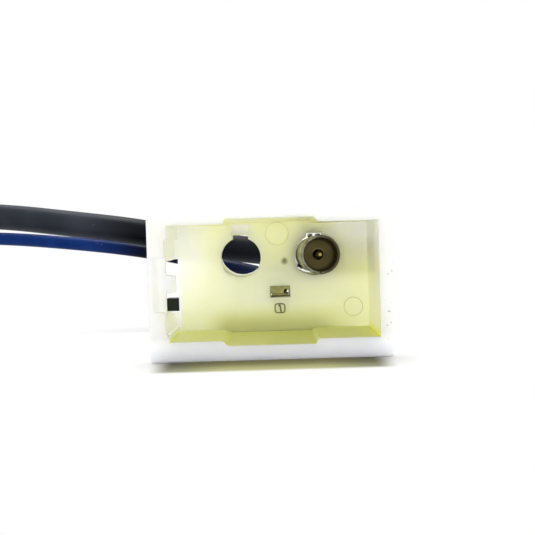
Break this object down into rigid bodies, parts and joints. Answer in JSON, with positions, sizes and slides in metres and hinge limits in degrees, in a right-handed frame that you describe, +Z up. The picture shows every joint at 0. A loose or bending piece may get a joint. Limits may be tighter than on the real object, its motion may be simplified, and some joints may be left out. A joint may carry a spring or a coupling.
{
  "type": "antenna adapter",
  "caption": "Keyed nylon socket with a coaxial antenna contact and a power contact, on a short lead with an aerial plug and a thin wire with a bullet terminal.",
  "frame": {"origin": "on the table, under the middle of the housing with its contacts, the lead and the wire left out", "axes": "+Z up, +X to the right when looking into the mouth, +Y from the mouth to the lead's exit"},
  "size_m": [0.1071, 0.0869, 0.0196],
  "materials": {
    "nylon": "natural nylon, satin",
    "dark_plastic": "moulded, matt",
    "tin": "tinned sheet, satin",
    "brown_plastic": "moulded, matt",
    "gilt": "gold plate",
    "braid": "tinned copper braid",
    "dielectric": "natural polythene",
    "copper": "bare copper",
    "black_jacket": "soft vinyl, satin",
    "blue_jacket": "soft vinyl, satin",
    "black_grip": "moulded, fine grain",
    "nickel": "nickel plate",
    "brass": "bare brass, satin",
    "blue_cover": "soft vinyl sleeve"
  },
  "bodies": {
    "root": {"housing": "nylon", "lock_bar": "dark_plastic", "antenna_shell": "tin", "antenna_insulator": "brown_plastic", "antenna_pin": "gilt", "crimp_sleeve": "tin", "power_contact": "tin", "braid_at_socket": "braid", "dielectric_at_socket": "dielectric", "core_at_socket": "copper", "strands_at_socket": "copper", "coax_lead": "black_jacket", "power_wire": "blue_jacket", "plug_cap": "black_grip", "plug_sleeve": "nickel", "plug_disc": "dielectric", "plug_pin": "nickel", "plug_clamp": "tin", "braid_at_plug": "braid", "dielectric_at_plug": "dielectric", "core_at_plug": "copper", "bullet_terminal": "brass", "bullet_cover": "blue_cover", "strands_at_bullet": "copper"}
  },
  "joints": []
}
